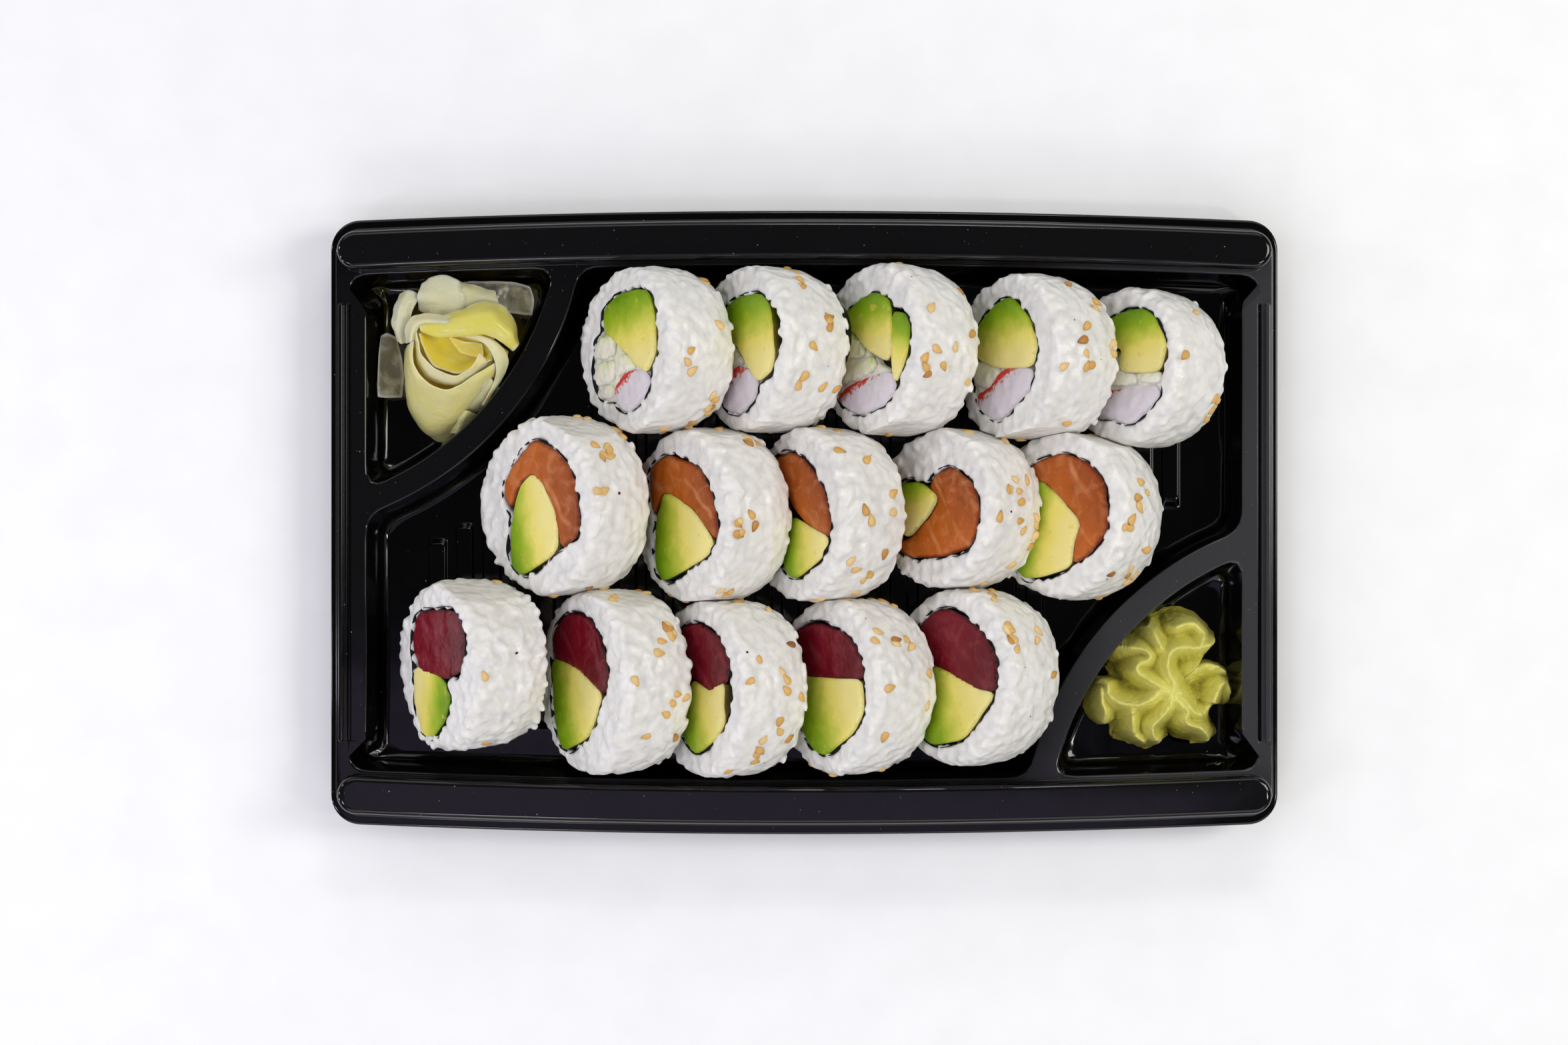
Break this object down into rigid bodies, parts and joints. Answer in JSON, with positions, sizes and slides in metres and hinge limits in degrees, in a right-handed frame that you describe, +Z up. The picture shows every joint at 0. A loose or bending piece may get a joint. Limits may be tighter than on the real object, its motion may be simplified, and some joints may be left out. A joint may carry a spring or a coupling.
{
  "type": "takeaway sushi tray",
  "caption": "Black plastic takeaway tray with a ribbed main well and corner wells, filled with rows of cut inside-out sushi rolls, folded pickled ginger and piped wasabi.",
  "frame": {"origin": "on the table under the middle of the tray", "axes": "+X along the tray towards the wasabi's end, +Y across it towards the ginger's side, +Z up"},
  "size_m": [0.24, 0.158, 0.0458],
  "materials": {
    "black_plastic": "glossy black thermoformed sheet",
    "rice": "moist cooked short-grain rice, translucent",
    "pickled_ginger": "wet, translucent thin slices",
    "wasabi": "grainy piped paste",
    "nori": "thin crinkled seaweed sheet",
    "salmon": "raw flesh with pale curved fat lines",
    "tuna": "raw deep red flesh, moist",
    "avocado": "ripe flesh, green at the skin side",
    "surimi": "layered white crab stick with a red edge",
    "cucumber": "pale translucent flesh",
    "sesame": "toasted seeds"
  },
  "bodies": {
    "root": {"tray": "black_plastic", "crab_roll_1": "rice", "crab_roll_2": "rice", "crab_roll_3": "rice", "crab_roll_4": "rice", "crab_roll_5": "rice", "salmon_roll_1": "rice", "salmon_roll_2": "rice", "salmon_roll_3": "rice", "salmon_roll_4": "rice", "salmon_roll_5": "rice", "tuna_roll_1": "rice", "tuna_roll_2": "rice", "tuna_roll_3": "rice", "tuna_roll_4": "rice", "tuna_roll_5": "rice", "ginger": "pickled_ginger", "wasabi": "wasabi"}
  },
  "joints": []
}
